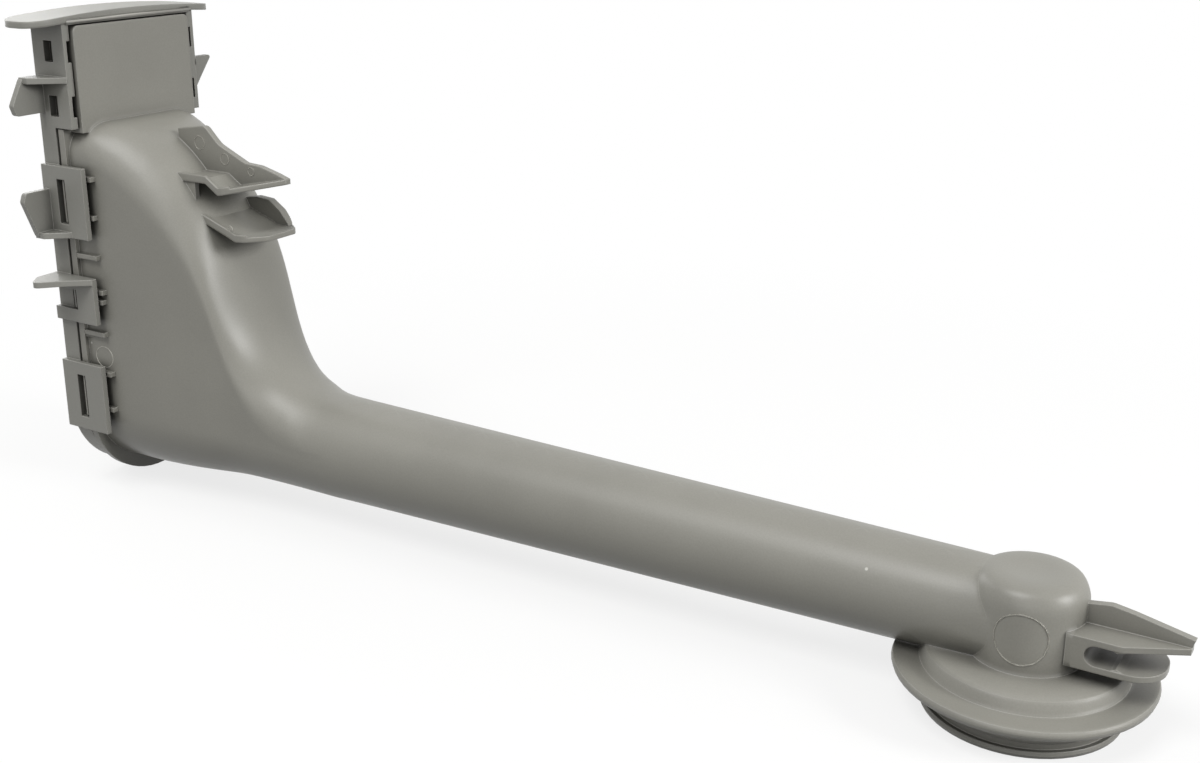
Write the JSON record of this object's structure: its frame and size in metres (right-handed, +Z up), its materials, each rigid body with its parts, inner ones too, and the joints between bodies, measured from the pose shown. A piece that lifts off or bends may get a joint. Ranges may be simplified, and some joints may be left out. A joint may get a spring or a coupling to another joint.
{
  "type": "dishwasher wash arm holder",
  "caption": "Water duct for a dishwasher's upper wash arm: tall docking head in a guide frame, a bell that narrows to a round pipe, an outlet tower over a collar, and clips for rack wires.",
  "frame": {"origin": "on the wash arm's axis, at the lower edge of the collar that the wash arm turns in", "axes": "+Z up as the duct hangs under the upper rack, +X from the docking head towards the outlet tower, Y across the duct"},
  "size_m": [0.2843, 0.0634, 0.125],
  "materials": {
    "duct_plastic": "satin moulded polypropylene, warm mid grey",
    "frame_plastic": "satin moulded polypropylene, warm mid grey"
  },
  "bodies": {
    "root": {"feed_pipe": "duct_plastic", "docking_frame": "frame_plastic"}
  },
  "joints": []
}
